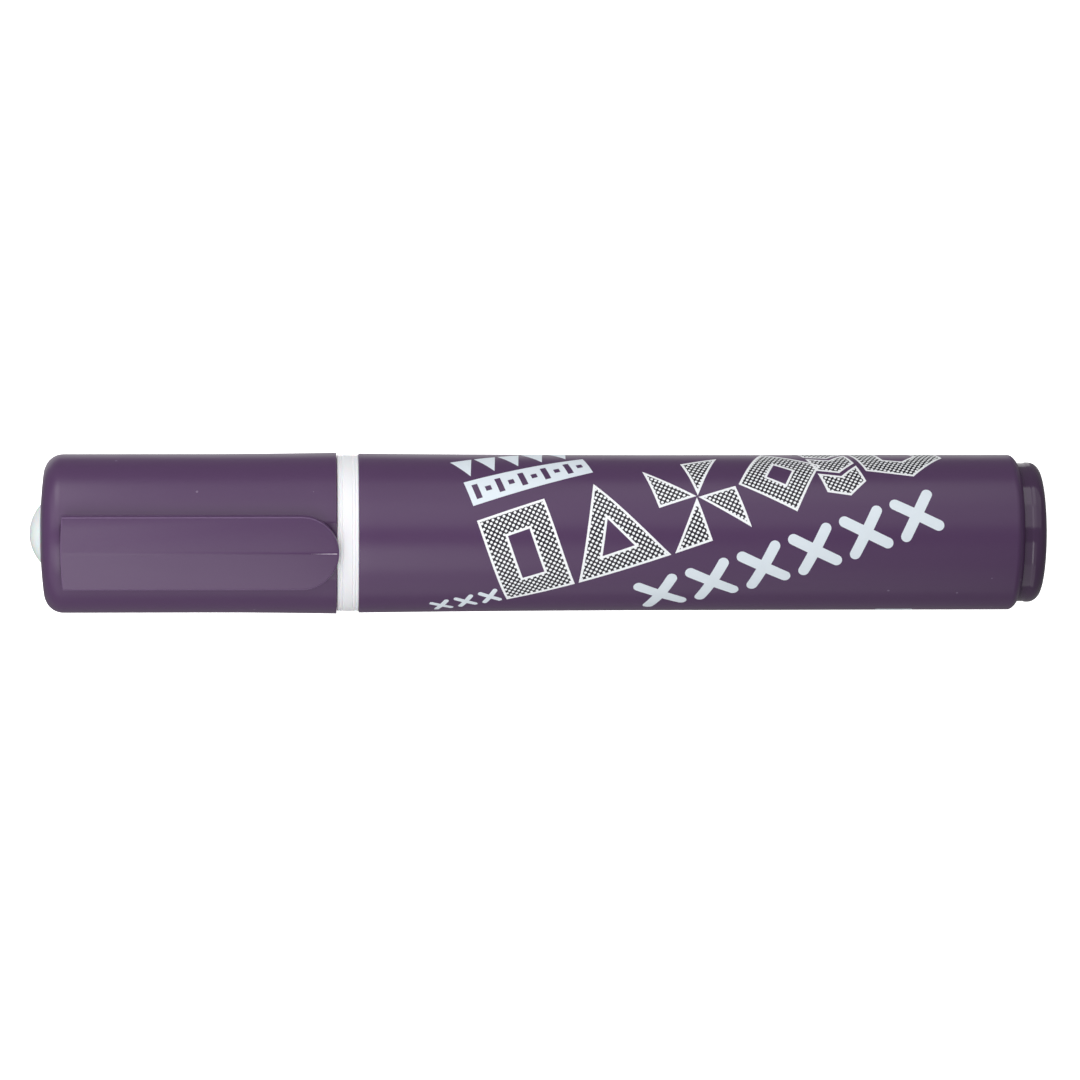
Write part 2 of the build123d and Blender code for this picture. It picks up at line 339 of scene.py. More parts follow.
def make_cap():
    """The cap: a flared mouth, a rounded and crowned end with the liner's hole, and a flat under the
    clip."""
    mouth = span("cap_shell")[1].x
    end = mouth - CAP_LENGTH
    inner_end = end + CAP_END_WALL
    rounding, inner_rounding = 2.37, 0.8
    outline = [(mouth, CAP_BORE + EDGE), (mouth, CAP_MOUTH_RADIUS - EDGE)]
    outline += arc((mouth - EDGE, CAP_MOUTH_RADIUS - EDGE), EDGE, 0, 90, 4)[1:]
    outline += flare(mouth - 2 * EDGE, CAP_MOUTH_RADIUS, mouth - CAP_FLARE_LENGTH, CAP_RADIUS, 12)[-2::-1]
    outline += crowned_end(end, -1, CAP_RADIUS, CAP_CROWN, rounding, BOSS_HOLE + 0.08)
    rim = outline[-1][0]
    outline += [(rim + 0.02, BOSS_HOLE + 0.02), (rim + 0.08, BOSS_HOLE)]
    outline += [(inner_end, BOSS_HOLE), (inner_end, CAP_BORE - inner_rounding)]
    outline += arc((inner_end + inner_rounding, CAP_BORE - inner_rounding), inner_rounding, 180, 90, 5)[1:]
    outline += [(mouth - EDGE, CAP_BORE), (mouth, CAP_BORE + EDGE)]
    cap = turned("cap_body", outline)
    clip_root = span("clip")[0].x
    flat_height, cutter_height = 9.38, 4
    middle = Vector((clip_root + 20, 0, flat_height + cutter_height / 2))
    nothing_selected()
    bpy.ops.mesh.primitive_cube_add(size=1, location=middle * MM)
    cutter = bpy.context.object
    cutter.scale = (40.1 * MM, 30 * MM, cutter_height * MM)
    cut_away(cap, settle(cutter, "flat_cutter"))
    return face_out_and_smooth(cap)


def make_liner():
    """The liner in the cap: a domed boss through the cap's end, a flange, and a sleeve with a rounded
    lip."""
    low, high = span("inner_cap")
    tip, mouth = low.x, high.x
    boss, height = 3.75, 1.5
    flange, sleeve, sleeve_bore, lip_rounding = 7.84, 6.2, 4.85, 0.4
    flange_front = span("cap_shell")[1].x - CAP_LENGTH + CAP_END_WALL + 0.05
    flange_rear = flange_front + 1.2
    dome = (boss**2 + height**2) / (2 * height)
    lean = degrees(asin(boss / dome))
    outline = [(tip + dome - x, r) for x, r in arc((0, 0), dome, 0.3, lean, 14)]
    outline += [(flange_front, boss), (flange_front, flange), (flange_rear, flange)]
    outline += [(flange_rear, sleeve), (mouth - lip_rounding, sleeve)]
    outline += arc((mouth - lip_rounding, sleeve - lip_rounding), lip_rounding, 90, 0, 4)[1:]
    outline += arc((mouth - lip_rounding, sleeve_bore + lip_rounding), lip_rounding, 0, -90, 4)
    outline += [(flange_rear + 1.2, sleeve_bore), (flange_rear + 1.2, POLE)]
    return turned("cap_liner", outline, closed=False)


def make_clip():
    """The clip: a flat bar with a round tip, a bowed root on its foot, and the parting line along its
    top."""
    low, high = span("clip")
    root, tip = low.x, high.x
    half, top = high.y, high.z
    thickness, parting, parting_height = 1.1, 0.1, 0.03
    root_side = root + 0.25
    under = top - thickness
    nothing_selected()
    bpy.ops.mesh.primitive_plane_add(size=1, location=((root_side + tip) / 2 * MM, 0, under * MM))
    clip = bpy.context.object
    clip.scale = ((tip - root_side) * MM, 2 * half * MM, 1)
    settle(clip, "pocket_clip")
    edit_where(clip, "VERT", lambda co: co.x > (root_side + 1) * MM)
    bpy.ops.mesh.bevel(offset=half * MM * 0.999, segments=24, affect="VERTICES")
    edit_where(clip, "EDGE", lambda a, b: max(a.x, b.x) < (root_side + 0.01) * MM)
    bpy.ops.mesh.subdivide(number_cuts=11)
    nothing_selected()
    for vertex in clip.data.vertices:
        if vertex.co.x < (root_side + 0.01) * MM:
            vertex.co.x -= (root_side - root) * MM * (1 - (vertex.co.y / (half * MM)) ** 2)
    edit(clip)
    bpy.ops.mesh.select_all(action="SELECT")
    bpy.ops.mesh.extrude_region_move(TRANSFORM_OT_translate={"value": (0, 0, thickness * MM)})
    edit_where(clip, "EDGE", lambda a, b: min(a.z, b.z) > (top - 0.01) * MM)
    bpy.ops.mesh.bevel(offset=CLIP_EDGE * MM, segments=4, affect="EDGES")
    for off in (-3 * parting, -parting, 0, parting, 3 * parting):
        bpy.ops.mesh.select_all(action="SELECT")
        bpy.ops.mesh.bisect(plane_co=(0, off * MM, 0), plane_no=(0, 1, 0), use_fill=False)
    edit_where(clip, "VERT", lambda co: abs(co.y) < 0.01 * MM and co.z > (top - 0.01) * MM)
    bpy.ops.transform.translate(value=(0, 0, parting_height * MM))
    nothing_selected()
    for vertex in clip.data.vertices:
        if vertex.co.z > (top - CLIP_EDGE - 0.01) * MM:
            vertex.co.z -= CLIP_FALL * abs(vertex.co.y) / half
    foot_low, foot_length, foot_inset = 8.5, 4, 0.35
    foot_middle = ((root_side + foot_length / 2) * MM, 0, (foot_low + under) / 2 * MM)
    nothing_selected()
    bpy.ops.mesh.primitive_cube_add(size=1, location=foot_middle)
    foot = bpy.context.object
    foot.scale = (foot_length * MM, 2 * (half - foot_inset) * MM, (under - foot_low + 0.02) * MM)
    settle(foot, "clip_foot")
    apply_modifier(clip, "BOOLEAN", operation="UNION", object=foot, solver="EXACT")
    bpy.data.objects.remove(foot)
    return face_out_and_smooth(clip)


def make_clip_flash():
    """A hair of flash on the parting line at the clip's tip; its pale colour is a painted highlight where
    the parting line catches the light.
    """
    end = span("clip")[1]
    length, width, thickness = 3.2, 0.11, 0.035
    middle = Vector((end.x - 0.25 - length / 2, 0, end.z + 0.012))
    nothing_selected()
    bpy.ops.mesh.primitive_plane_add(size=1, location=middle * MM)
    flash = bpy.context.object
    flash.scale = (length * MM, width * MM, 1)
    settle(flash, "clip_flash")
    edit_where(flash, "VERT", lambda co: co.x < (middle.x - 0.05) * MM)
    bpy.ops.mesh.merge(type="CENTER")
    apply_modifier(flash, "SOLIDIFY", thickness=thickness * MM, offset=1.0)
    return face_out_and_smooth(flash)


barrel_tube = make_barrel()
end_plug = make_tail_plug()
nib_section = make_nib_holder()
felt_nib = make_nib()
cap_body = make_cap()
cap_liner = make_liner()
pocket_clip = make_clip()
clip_flash = make_clip_flash()


# ---------------------------------------------------------------- screen print

BARREL_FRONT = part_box("barrel")[0].x / MM
PRINT_SLOPE = radians(19)     # the artwork climbs this much along the barrel
PRINT_START = -42.5           # where the artwork's own zero lies along the barrel
PRINT_HEIGHT = -9.7           # and round it, as arc length up from the line facing the viewer
VIEW_ROLL = radians(13.6)     # how far the clip is rolled off the viewer's line
DOT_ROW = 0.36                # between halftone rows; dots in a row are twice that apart
DOT_RADIUS = 0.18
LINE = 0.30                   # width of a printed outline
BLOCK = 11.8                  # height of a quilt block
STRIP = 0.55                  # width of the strips in which a film is rolled round the barrel


def barrel_radius_at(x):
    """The barrel's radius in millimetres, which grows over the flare at its open end."""
    run = BARREL_FRONT + FLARE_LENGTH - x
    if run <= 0:
        return BARREL_RADIUS
    bend = (FLARE_LENGTH**2 + (RIM_RADIUS - BARREL_RADIUS) ** 2) / (2 * (RIM_RADIUS - BARREL_RADIUS))
    return BARREL_RADIUS + bend - sqrt(bend**2 - run**2)


def wrap_on_barrel(film, name, bottom, thickness, start=PRINT_START, height=PRINT_HEIGHT, tilt=PRINT_SLOPE):
    """Cuts a flat print film into narrow strips, rolls it round the barrel and gives it its thickness."""
    nothing_selected()
    film.name = name
    edit(film)
    lows = [min(v.co[i] for v in film.data.vertices) for i in (0, 1)]
    highs = [max(v.co[i] for v in film.data.vertices) for i in (0, 1)]
    slope = Vector((sin(tilt), cos(tilt), 0))
    corners = [Vector((a, b, 0)).dot(slope) for a in (lows[0], highs[0]) for b in (lows[1], highs[1])]
    place = min(corners) + STRIP * MM
    while place < max(corners):
        bpy.ops.mesh.select_all(action="SELECT")
        bpy.ops.mesh.bisect(plane_co=slope * place, plane_no=slope, use_fill=False)
        place += STRIP * MM
    nothing_selected()
    turn, climb = cos(tilt), sin(tilt)
    for vertex in film.data.vertices:
        a, b = vertex.co.x / MM, vertex.co.y / MM
        x = start + a * turn - b * climb
        around = height + a * climb + b * turn
        angle = around / BARREL_RADIUS + VIEW_ROLL
        radius = barrel_radius_at(x) + bottom
        vertex.co = Vector((x, radius * sin(angle), radius * cos(angle))) * MM
    apply_modifier(film, "SOLIDIFY", thickness=thickness * MM, offset=1.0, use_even_offset=True)
    settle(film, name)
    return face_out_and_smooth(film)


def flat(corners, name="patch"):
    """A flat patch of print film with these corners in order: a sheet trimmed along each side."""
    lows = [min(c[i] for c in corners) for i in (0, 1)]
    highs = [max(c[i] for c in corners) for i in (0, 1)]
    nothing_selected()
    middle = [(low + high) / 2 * MM for low, high in zip(lows, highs)]
    bpy.ops.mesh.primitive_plane_add(size=1, location=(middle[0], middle[1], 0))
    patch = bpy.context.object
    patch.scale = ((highs[0] - lows[0]) * MM, (highs[1] - lows[1]) * MM, 1)
    settle(patch, name)
    edit(patch)
    for start, end in zip(corners, corners[1:] + corners[:1]):
        along = Vector((end[0] - start[0], end[1] - start[1], 0)).normalized()
        outward = Vector((along.y, -along.x, 0))
        bpy.ops.mesh.select_all(action="SELECT")
        bpy.ops.mesh.bisect(plane_co=Vector((start[0] * MM, start[1] * MM, 0)), plane_no=outward,
                            clear_outer=True, use_fill=False)
    nothing_selected()
    return patch


def region(patches, name="region"):
    """Several flat patches that share sides, merged to one sheet."""
    sheet = join([flat(corners) for corners in patches], name)
    edit(sheet)
    bpy.ops.mesh.select_all(action="SELECT")
    bpy.ops.mesh.remove_doubles(threshold=1e-6)
    bpy.ops.mesh.normals_make_consistent(inside=False)
    nothing_selected()
    if sheet.data.polygons[0].normal.z < 0:
        edit(sheet)
        bpy.ops.mesh.select_all(action="SELECT")
        bpy.ops.mesh.flip_normals()
        nothing_selected()
    return sheet


def rim_lines(sheet):
    """The straight sides of a flat sheet that border nothing, as pairs of points."""
    uses = {}
    for face in sheet.data.polygons:
        for key in face.edge_keys:
            uses[key] = uses.get(key, 0) + 1
    points = [v.co.copy() for v in sheet.data.vertices]
    return [(points[a], points[b]) for (a, b), count in uses.items() if count == 1]


def well_inside(point, lines, margin):
    """Whether a point lies within a flat outline, and at least the margin from it."""
    crossings = 0
    for start, end in lines:
        along = end - start
        share = max(0, min(1, (point - start).dot(along) / along.length_squared))
        if (start + along * share - point).length < margin:
            return False
        if (start.y > point.y) != (end.y > point.y):
            if point.x < start.x + along.x * (point.y - start.y) / along.y:
                crossings += 1
    return crossings % 2 == 1


def outlined(sheet):
    """Leaves only a printed line's width round a flat sheet's rim."""
    edit(sheet)
    bpy.ops.mesh.select_all(action="SELECT")
    bpy.ops.mesh.inset(thickness=LINE * MM, depth=0, use_even_offset=True)
    bpy.ops.mesh.delete(type="FACE")
    nothing_selected()
    return sheet


def framed(outer, inner):
    """The patches of a frame between an outer and an inner ring of corners."""
    patches = []
    for side, corner in enumerate(outer):
        after = (side + 1) % len(outer)
        patches.append([corner, outer[after], inner[after], inner[side]])
    return patches


def box_corners(left, low, right, high):
    """The four corners of an upright rectangle, in order."""
    return [(left, low), (right, low), (right, high), (left, high)]


def quilt_pieces():
    """The six quilt blocks of the main band. Each separate piece is a list of flat patches."""
    square = framed(box_corners(0, 0, 8.8, BLOCK), box_corners(3.0, 3.0, 5.8, 8.8))
    goose = framed([(9.3, 0), (21.3, 0), (15.3, BLOCK)], [(13.2, 2.6), (17.4, 2.6), (15.3, 6.8)])
    pinwheel = [
        [(26.9, 6.0), (26.9, BLOCK), (31.8, BLOCK)],
        [(26.7, 6.0), (21.8, 6.0), (21.8, BLOCK)],
        [(26.7, 5.8), (26.7, 0), (21.8, 0)],
        [(26.9, 5.8), (31.8, 5.8), (31.8, 0)],
    ]
    diamond = framed([(37.8, 0), (43.3, 5.9), (37.8, BLOCK), (32.3, 5.9)],
                     [(37.8, 4.0), (39.5, 5.9), (37.8, 7.8), (36.1, 5.9)])
    pieces = [square, goose, diamond] + [[blade] for blade in pinwheel]
    for low in (-0.2, 3.6, 7.4):
        left = [(42.3, low + 1.4), (44.9, low), (44.9, low + 3.2), (42.3, low + 4.6)]
        pieces.append([left, [(89.8 - x, y) for x, y in left]])
    hexagon = [(48.2, 2.9), (53.4, 0), (58.6, 2.9), (58.6, 8.9), (53.4, BLOCK), (48.2, 8.9)]
    hole = [(51.3, 4.7), (53.4, 3.5), (55.5, 4.7), (55.5, 7.1), (53.4, 8.3), (51.3, 7.1)]
    pieces.append(framed(hexagon, hole))
    return pieces


def counterclockwise(corners):
    """The corners in the order that makes the patch face up."""
    area = 0
    for (ax, ay), (bx, by) in zip(corners, corners[1:] + corners[:1]):
        area += ax * by - bx * ay
    return corners if area > 0 else corners[::-1]


def print_quilt_band():
    """The main band: six quilt blocks in white outlines, filled with dots over a dark ground."""
    outlines, grounds, rims = [], [], []
    for piece in quilt_pieces():
        sheet = region([counterclockwise(patch) for patch in piece])
        rims.append(rim_lines(sheet))
        ground = sheet.copy()
        ground.data = sheet.data.copy()
        bpy.context.collection.objects.link(ground)
        grounds.append(ground)
        outlines.append(outlined(sheet))
    nothing_selected()
    bpy.ops.mesh.primitive_circle_add(vertices=10, radius=DOT_RADIUS * MM, fill_type="NGON",
                                      location=(0.1 * MM, 0.1 * MM, 0))
    dots = settle(bpy.context.object, "halftone")
    twin = dots.copy()
    twin.data = dots.data.copy()
    twin.location = (DOT_ROW * MM, DOT_ROW * MM, 0)
    bpy.context.collection.objects.link(twin)
    dots = join([dots, twin], "halftone")
    for offset, count in (((2 * DOT_ROW * MM, 0, 0), 82), ((0, 2 * DOT_ROW * MM, 0), 17)):
        apply_modifier(dots, "ARRAY", count=count, use_relative_offset=False, use_constant_offset=True,
                       constant_offset_displace=offset)
    edit_where(dots, "FACE", lambda centre, normal: not any(well_inside(centre, lines, DOT_RADIUS * MM)
                                                            for lines in rims))
    bpy.ops.mesh.delete(type="FACE")
    nothing_selected()
    white = wrap_on_barrel(join(outlines, "quilt_outlines"), "print_quilt_outlines", 0.006, 0.018)
    dots = wrap_on_barrel(dots, "print_quilt_dots", 0.006, 0.018)
    ground = wrap_on_barrel(join(grounds, "quilt_ground"), "print_quilt_ground", 0.002, 0.010)
    return white, dots, ground


def cross_stitch(centre, height, stroke):
    """One solid cross-stitch with rounded ends."""
    arm = (height / 2 - stroke / 2) * sqrt(2)
    nothing_selected()
    bpy.ops.mesh.primitive_plane_add(size=stroke * MM, location=(0, 0, 0))
    stitch = bpy.context.object
    for direction in (Vector((1, 0, 0)), Vector((0, 1, 0)), Vector((-1, 0, 0)), Vector((0, -1, 0))):
        across = Vector((-direction.y, direction.x, 0))
        edit_where(stitch, "VERT", lambda co: co.dot(direction) > 0.49 * stroke * MM
                   and abs(co.dot(across)) < 0.51 * stroke * MM)
        bpy.ops.mesh.extrude_edges_move(TRANSFORM_OT_translate={"value": direction * arm * MM})
    edit_where(stitch, "VERT", lambda co: co.length > arm * MM)
    bpy.ops.mesh.bevel(offset=stroke * 0.495 * MM, segments=6, affect="VERTICES")
    nothing_selected()
    stitch.rotation_euler = (0, 0, pi / 4)
    stitch.location = (centre[0] * MM, centre[1] * MM, 0)
    return settle(stitch, "stitch")


def print_second_row():
    """Six bold cross-stitches under the quilt band, and three small ones ahead of it."""
    stitches = [cross_stitch((15.3 + 2.95 + 6.68 * place, -5.25), 5.6, 1.35) for place in range(6)]
    stitches += [cross_stitch((-8.1 + 3.15 * place, 1.25), 2.5, 0.62) for place in range(3)]
    return wrap_on_barrel(join(stitches, "stitches"), "print_cross_stitches", 0.004, 0.02)


def print_tag():
    """A solid tag with a running stitch left open in it, and a row of bunting above it."""
    nothing_selected()
    left, length, height, middle_y, columns = 0.2, 15.8, 3.5, 15.45, 21
    bpy.ops.mesh.primitive_grid_add(x_subdivisions=columns, y_subdivisions=5, size=1,
                                    location=((left + length / 2) * MM, middle_y * MM, 0))
    tag = bpy.context.object
    tag.scale = (length * MM, height * MM, 1)
    settle(tag, "tag")
    for column in range(1, columns, 2):
        middle = left + length / columns * (column + 0.5)
        reach = 1.1 if column % 4 == 1 else 0.4
        edit_where(tag, "FACE", lambda centre, normal: abs(centre.x / MM - middle) < 0.2
                   and abs(centre.y / MM - middle_y) < reach)
        bpy.ops.mesh.delete(type="FACE")
    flags = []
    for place in range(5):
        flag = 3.15 * place
        flags.append(flat([(flag, 21.4), (flag + 1.4, 17.9), (flag + 2.8, 21.4)]))
    return wrap_on_barrel(join([tag] + flags, "tag_and_bunting"), "print_tag", 0.004, 0.02)


def print_back():
    """The print on the far side: a spool of thread, and a care label's box with rows of running stitch."""
    parts = [flat(box_corners(-2.3, -1.2, 2.3, 0)), flat(box_corners(-2.3, -6.2, 2.3, -5.0))]
    parts += [flat(box_corners(-1.5, low, 1.5, low + 0.55)) for low in (-2.0, -2.85, -3.7, -4.55)]
    box = flat(box_corners(-46, -19, -12, -9))
    edit(box)
    bpy.ops.mesh.select_all(action="SELECT")
    bpy.ops.mesh.bevel(offset=1.2 * MM, segments=6, affect="VERTICES")
    parts.append(outlined(box))
    for row in range(3):
        for dash in range(12 - 3 * (row == 2)):
            left, low = -44.2 + 2.6 * dash, -11.6 - 2.7 * row
            parts.append(flat(box_corners(left, low, left + 1.7, low + 0.5)))
    return wrap_on_barrel(join(parts, "back_art"), "print_back_label", 0.004, 0.02, 6.15, -13.55, 0)


print_outlines, print_dots, print_ground = print_quilt_band()
print_stitches = print_second_row()
print_tag_piece = print_tag()
print_back_label = print_back()


# ---------------------------------------------------------------- materials


def linear(hex_colour):
    """An sRGB hex colour as the linear RGBA that a shader takes."""
    channels = [int(hex_colour[place:place + 2], 16) / 255 for place in (1, 3, 5)]
    return [c / 12.92 if c <= 0.04045 else ((c + 0.055) / 1.055) ** 2.4 for c in channels] + [1.0]


def add_node(material, kind, inputs=None, **settings):
    """Adds one node. Its inputs are plain values, or sockets that are linked in."""
    node = material.node_tree.nodes.new(kind)
    for setting, value in settings.items():
        setattr(node, setting, value)
    for socket, value in (inputs or {}).items():
        if isinstance(value, bpy.types.NodeSocket):
            material.node_tree.links.new(value, node.inputs[socket])
        else:
            node.inputs[socket].default_value = value
    return node


def start_material(name, **values):
    """A new material, its shader with these plain values, and the place on the object."""
    material = bpy.data.materials.new(name)
    material.use_nodes = True
    shader = material.node_tree.nodes["Principled BSDF"]
    for socket, value in values.items():
        shader.inputs[socket.replace("_", " ")].default_value = value
    place = add_node(material, "ShaderNodeTexCoord").outputs["Object"]
    return material, shader, place


def link(material, output, shader, socket):
    material.node_tree.links.new(output, shader.inputs[socket])


def satin_polypropylene(name="moulded_polypropylene_purple", painted_edge_highlight=None):
    """Injection-moulded polypropylene, coloured in the mass, from a spark-eroded mould.

    The fine mould texture breaks up reflections to a soft satin sheen. Flow of the melt leaves
    the purple a little uneven, and handling leaves a few specks. Along an edge a painted highlight can
    be laid, a paler purple where the rounding catches the light: it lies between two heights, on a top that
    falls by this much to its sides.
    """
    material, shader, place = start_material(name, IOR=1.49, Roughness=0.30, Specular_IOR_Level=0.39)
    flow_place = add_node(material, "ShaderNodeMapping", {"Vector": place, "Scale": (0.35, 1, 1)})
    flow = add_node(material, "ShaderNodeTexNoise",
                    {"Vector": flow_place.outputs[0], "Scale": 1 / 0.012, "Detail": 3.0, "Roughness": 0.5})
    melt = add_node(material, "ShaderNodeMix",
                    {0: flow.outputs["Fac"], 6: linear("#4F3659"), 7: linear("#533A5D")},
                    data_type="RGBA")
    specks = add_node(material, "ShaderNodeTexVoronoi", {"Vector": place, "Scale": 1 / 0.0045})
    speck = add_node(material, "ShaderNodeMath", {0: specks.outputs["Distance"], 1: 0.035},
                     operation="LESS_THAN")
    speck_part = add_node(material, "ShaderNodeMath", {0: speck.outputs[0], 1: 0.35}, operation="MULTIPLY")
    dusted = add_node(material, "ShaderNodeMix",
                      {0: speck_part.outputs[0], 6: melt.outputs[2], 7: linear("#9A8AA4")}, data_type="RGBA")
    colour = dusted.outputs[2]
    # Painted highlight: a band along the top's edges, between two heights, is mixed towards a paler purple
    # (#8A7296) where the edge roundings catch the light
    if painted_edge_highlight:
        low, high, fall = painted_edge_highlight
        point = add_node(material, "ShaderNodeSeparateXYZ", {0: place})
        off_middle = add_node(material, "ShaderNodeMath", {0: point.outputs["Y"]}, operation="ABSOLUTE")
        level = add_node(material, "ShaderNodeMath",
                         {0: off_middle.outputs[0], 1: fall, 2: point.outputs["Z"]},
                          operation="MULTIPLY_ADD")
        edge = add_node(material, "ShaderNodeMath",
                        {0: level.outputs[0], 1: (low + high) / 2 * MM, 2: (high - low) / 2 * MM},
                        operation="COMPARE")
        painted_highlight_share = add_node(material, "ShaderNodeMath", {0: edge.outputs[0], 1: 0.32}, operation="MULTIPLY")
        colour = add_node(material, "ShaderNodeMix", {0: painted_highlight_share.outputs[0], 6: colour, 7: linear("#8A7296")},
                          data_type="RGBA").outputs[2]
    link(material, colour, shader, "Base Color")
    wear = add_node(material, "ShaderNodeTexNoise", {"Vector": place, "Scale": 1 / 0.006, "Detail": 2.0})
    sheen = add_node(material, "ShaderNodeMapRange", {0: wear.outputs["Fac"], 3: 0.27, 4: 0.33})
    link(material, sheen.outputs[0], shader, "Roughness")
    erosion = add_node(material, "ShaderNodeTexNoise",
                       {"Vector": place, "Scale": 1 / 0.00022, "Detail": 2.0, "Roughness": 0.6})
    surface = add_node(material, "ShaderNodeBump",
                       {"Height": erosion.outputs["Fac"], "Distance": 0.000004, "Strength": 1.0})
    link(material, surface.outputs[0], shader, "Normal")
    return material


def painted_highlight_polypropylene():
    """The same polypropylene in a pale, finely mottled purple: a painted highlight for the parting-line
    sliver at the clip's tip.
    """
    material, shader, place = start_material("polypropylene_purple_painted_highlight", IOR=1.49, Roughness=0.35)
    highlight_mottle = add_node(material, "ShaderNodeTexNoise", {"Vector": place, "Scale": 1 / 0.0005, "Detail": 2.0})
    # Painted highlight: pale purples (#8F7A99 to #D9CFDD) that stand for light caught on the parting line
    painted_highlight = add_node(material, "ShaderNodeMix",
                    {0: highlight_mottle.outputs["Fac"], 6: linear("#8F7A99"), 7: linear("#D9CFDD")},
                    data_type="RGBA")
    link(material, painted_highlight.outputs[2], shader, "Base Color")
    return material


def glossy_polypropylene():
    """The end plug's polypropylene, from a polished mould: the same purple with a clear gloss."""
    material, shader, place = start_material("polished_polypropylene_purple", IOR=1.49, Roughness=0.12,
                                             Specular_IOR_Level=0.56)
    flow = add_node(material, "ShaderNodeTexNoise", {"Vector": place, "Scale": 1 / 0.006, "Detail": 3.0})
    melt = add_node(material, "ShaderNodeMix",
                    {0: flow.outputs["Fac"], 6: linear("#422D4A"), 7: linear("#46304E")},
                    data_type="RGBA")
    link(material, melt.outputs[2], shader, "Base Color")
    sink = add_node(material, "ShaderNodeTexNoise", {"Vector": place, "Scale": 1 / 0.004, "Detail": 1.0})
    surface = add_node(material, "ShaderNodeBump",
                       {"Height": sink.outputs["Fac"], "Distance": 0.00004, "Strength": 0.6})
    link(material, surface.outputs[0], shader, "Normal")
    return material


def white_polypropylene():
    """White moulded polypropylene of the nib section: bright, slightly waxy, light goes a little way in."""
    material, shader, place = start_material("moulded_polypropylene_white", IOR=1.49, Roughness=0.38,
                                             Subsurface_Weight=0.15, Subsurface_Scale=0.0006)
    flow = add_node(material, "ShaderNodeTexNoise", {"Vector": place, "Scale": 1 / 0.005, "Detail": 3.0})
    melt = add_node(material, "ShaderNodeMix",
                    {0: flow.outputs["Fac"], 6: linear("#EFEFF3"), 7: linear("#F4F4F7")},
                    data_type="RGBA")
    link(material, melt.outputs[2], shader, "Base Color")
    erosion = add_node(material, "ShaderNodeTexNoise", {"Vector": place, "Scale": 1 / 0.0002, "Detail": 2.0})
    surface = add_node(material, "ShaderNodeBump",
                       {"Height": erosion.outputs["Fac"], "Distance": 0.000003, "Strength": 1.0})
    link(material, surface.outputs[0], shader, "Normal")
    return material


def natural_polyethylene():
    """Natural polyethylene of the cap liner, moulded without colour: milky, a little see-through."""
    material, shader, place = start_material("moulded_polyethylene_natural", IOR=1.52, Roughness=0.30,
                                             Subsurface_Weight=0.4, Subsurface_Scale=0.0015)
    cloud = add_node(material, "ShaderNodeTexNoise", {"Vector": place, "Scale": 1 / 0.004, "Detail": 2.0})
    melt = add_node(material, "ShaderNodeMix",
                    {0: cloud.outputs["Fac"], 6: linear("#ECF3F3"), 7: linear("#F2F8F7")},
                    data_type="RGBA")
    link(material, melt.outputs[2], shader, "Base Color")
    surface = add_node(material, "ShaderNodeBump",
                       {"Height": cloud.outputs["Fac"], "Distance": 0.00003, "Strength": 0.5})
    link(material, surface.outputs[0], shader, "Normal")
    return material


def soaked_felt():
    """Sintered polyester felt, soaked with purple pigment ink: dark, matt, with fibres along the nib."""
    material, shader, place = start_material("ink_soaked_polyester_felt", Roughness=0.72, Sheen_Weight=0.25,
                                             Sheen_Roughness=0.5)
    strand_place = add_node(material, "ShaderNodeMapping", {"Vector": place, "Scale": (0.12, 1, 1)})
    strands = add_node(material, "ShaderNodeTexNoise",
                       {"Vector": strand_place.outputs[0], "Scale": 1 / 0.0003, "Detail": 4.0,
                        "Roughness": 0.65})
    ink = add_node(material, "ShaderNodeMix",
                   {0: strands.outputs["Fac"], 6: linear("#2E1842"), 7: linear("#4B2C66")},
                   data_type="RGBA")
    link(material, ink.outputs[2], shader, "Base Color")
    nap = add_node(material, "ShaderNodeBump",
                   {"Height": strands.outputs["Fac"], "Distance": 0.00012, "Strength": 0.9})
    link(material, nap.outputs[0], shader, "Normal")
    return material


def reservoir_fibre():
    """Bundled polyester fibre of the ink store, soaked: long strands along the pen, nearly black purple."""
    material, shader, place = start_material("soaked_polyester_fibre_bundle", Roughness=0.8)
    strand_place = add_node(material, "ShaderNodeMapping", {"Vector": place, "Scale": (0.05, 1, 1)})
    strands = add_node(material, "ShaderNodeTexNoise",
                       {"Vector": strand_place.outputs[0], "Scale": 1 / 0.0004, "Detail": 3.0})
    ink = add_node(material, "ShaderNodeMix",
                   {0: strands.outputs["Fac"], 6: linear("#24123A"), 7: linear("#45295F")},
                   data_type="RGBA")
    link(material, ink.outputs[2], shader, "Base Color")
    nap = add_node(material, "ShaderNodeBump",
                   {"Height": strands.outputs["Fac"], "Distance": 0.0001, "Strength": 0.8})
    link(material, nap.outputs[0], shader, "Normal")
    return material


def wrap_film():
    """Thin polypropylene film round the fibre bundle: glossy, ink-stained, with faint lengthwise creases."""
    material, shader, place = start_material("polypropylene_wrap_film", IOR=1.49, Roughness=0.2)
    crease_place = add_node(material, "ShaderNodeMapping", {"Vector": place, "Scale": (0.1, 1, 1)})
    creases = add_node(material, "ShaderNodeTexNoise",
                       {"Vector": crease_place.outputs[0], "Scale": 1 / 0.0015, "Detail": 2.0})
    stain = add_node(material, "ShaderNodeMix",
                     {0: creases.outputs["Fac"], 6: linear("#4A3560"), 7: linear("#6C5482")},
                     data_type="RGBA")
    link(material, stain.outputs[2], shader, "Base Color")
    surface = add_node(material, "ShaderNodeBump",
                       {"Height": creases.outputs["Fac"], "Distance": 0.00008, "Strength": 0.7})
    link(material, surface.outputs[0], shader, "Normal")
    return material


